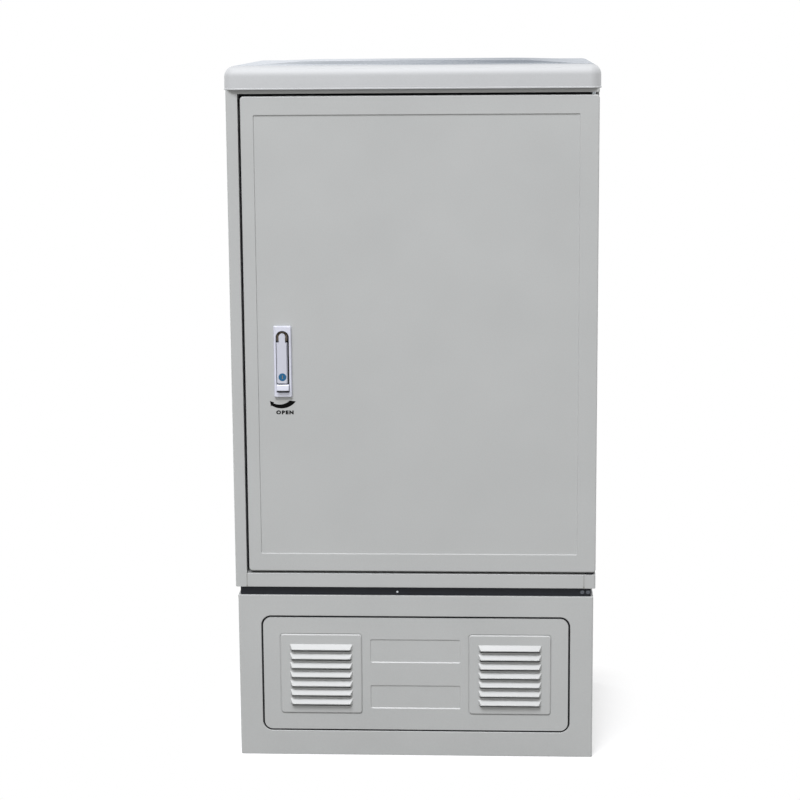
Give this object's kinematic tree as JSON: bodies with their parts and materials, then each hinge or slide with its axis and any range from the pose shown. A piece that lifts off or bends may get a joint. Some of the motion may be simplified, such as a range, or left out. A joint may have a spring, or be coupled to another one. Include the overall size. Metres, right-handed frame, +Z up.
{
  "type": "roadside utility cabinet",
  "caption": "Upright moulded street cabinet with a hinged door, rod lock with swing handle, crowned hood and a louvred plinth, for fibre-optic cross-connections.",
  "frame": {"origin": "centre of the ground plane, midway between the four anchor holes", "axes": "+Z up, +X to the right as seen from the front, the door faces -Y"},
  "size_m": [0.758, 0.561, 1.45],
  "materials": {
    "smc_body": "moulded, fine satin grain",
    "smc_hood": "moulded, smooth satin",
    "dark_steel": "dark powder coat",
    "galvanised_steel": "galvanised",
    "lock_zinc": "satin silver",
    "cast_steel": "as cast",
    "black_rubber": "matt",
    "white_nylon": "moulded",
    "pale_plastic": "moulded",
    "copper_bar": "rolled copper",
    "key_blue": "moulded, glossy"
  },
  "bodies": {
    "cabinet": {"base_front_panel": "smc_body", "base_rear_panel": "smc_body", "base_left_panel": "smc_body", "base_right_panel": "smc_body", "base_corner_angles": "galvanised_steel", "base_louvre_cover": "smc_body", "cover_clamps": "galvanised_steel", "anchor_rail_left": "dark_steel", "anchor_rail_right": "dark_steel", "support_frame": "dark_steel", "gland_plate": "galvanised_steel", "cable_grommets": "black_rubber", "left_side_panel": "smc_body", "right_side_panel": "smc_body", "rear_panel": "smc_body", "front_sill": "smc_body", "front_header": "smc_body", "seal_frame": "dark_steel", "roof_panel": "galvanised_steel", "hood": "smc_hood", "hood_posts": "galvanised_steel", "lower_hinge_pin": "galvanised_steel", "upper_hinge_pin": "galvanised_steel", "hinge_washer": "black_rubber", "rod_keepers": "galvanised_steel", "mounting_upright_left": "galvanised_steel", "mounting_upright_right": "galvanised_steel", "frame_crossbars": "galvanised_steel", "distribution_unit_1": "galvanised_steel", "distribution_unit_2": "galvanised_steel", "distribution_unit_3": "galvanised_steel", "distribution_unit_4": "galvanised_steel", "tray_stack_1": "pale_plastic", "tray_stack_2": "pale_plastic", "tray_stack_3": "pale_plastic", "tray_stack_4": "pale_plastic", "spool_plate": "galvanised_steel", "fibre_spools": "pale_plastic", "cable_clamp_bar": "galvanised_steel", "cable_clamps": "black_rubber", "earth_bar": "copper_bar"},
    "door": {"door_skin": "smc_body", "door_inner_frame": "galvanised_steel", "door_gasket": "black_rubber", "lock_rail": "galvanised_steel", "lower_pivot_block": "galvanised_steel", "upper_pivot_block": "galvanised_steel", "lock_escutcheon": "lock_zinc", "lock_housing": "dark_steel", "rod_guides": "white_nylon", "document_holder": "pale_plastic"},
    "spindle": {"lock_spindle": "cast_steel", "lock_crank": "galvanised_steel", "handle_pin": "lock_zinc"},
    "handle": {"lock_handle": "lock_zinc"},
    "key_core": {"key_core": "key_blue"},
    "release_button": {"release_button": "lock_zinc"},
    "upper_rod": {"upper_rod": "galvanised_steel"},
    "lower_rod": {"lower_rod": "galvanised_steel"}
  },
  "joints": [
    {"name": "door_swing", "type": "hinge", "parent": "cabinet", "child": "door", "pos_m": [0.363, -0.258, 0.89], "axis": [0, 0, 1], "range_deg": [0, 120]},
    {"name": "handle_turn", "type": "hinge", "parent": "door", "child": "spindle", "pos_m": [-0.268, -0.26, 0.894], "axis": [0, 1, 0], "range_deg": [0, 90]},
    {"name": "handle_lift", "type": "hinge", "parent": "spindle", "child": "handle", "pos_m": [-0.268, -0.2781, 0.894], "axis": [-1, 0, 0], "range_deg": [0, 30]},
    {"name": "key_turn", "type": "hinge", "parent": "handle", "child": "key_core", "pos_m": [-0.268, -0.278, 0.813], "axis": [0, 1, 0], "range_deg": [0, 90]},
    {"name": "button_press", "type": "slide", "parent": "door", "child": "release_button", "axis": [0, 1, 0], "range_m": [0, 0.003], "stiffness_N_per_m": 300},
    {"name": "upper_rod_slide", "type": "slide", "parent": "door", "child": "upper_rod", "axis": [0, 0, 1], "range_m": [-0.0256, 0]},
    {"name": "lower_rod_slide", "type": "slide", "parent": "door", "child": "lower_rod", "axis": [0, 0, 1], "range_m": [0, 0.0256]}
  ],
  "couplings": [
    {"joint": "upper_rod_slide", "follows": "handle_turn", "m_per_rad": -0.016206},
    {"joint": "lower_rod_slide", "follows": "handle_turn", "m_per_rad": 0.016206}
  ]
}
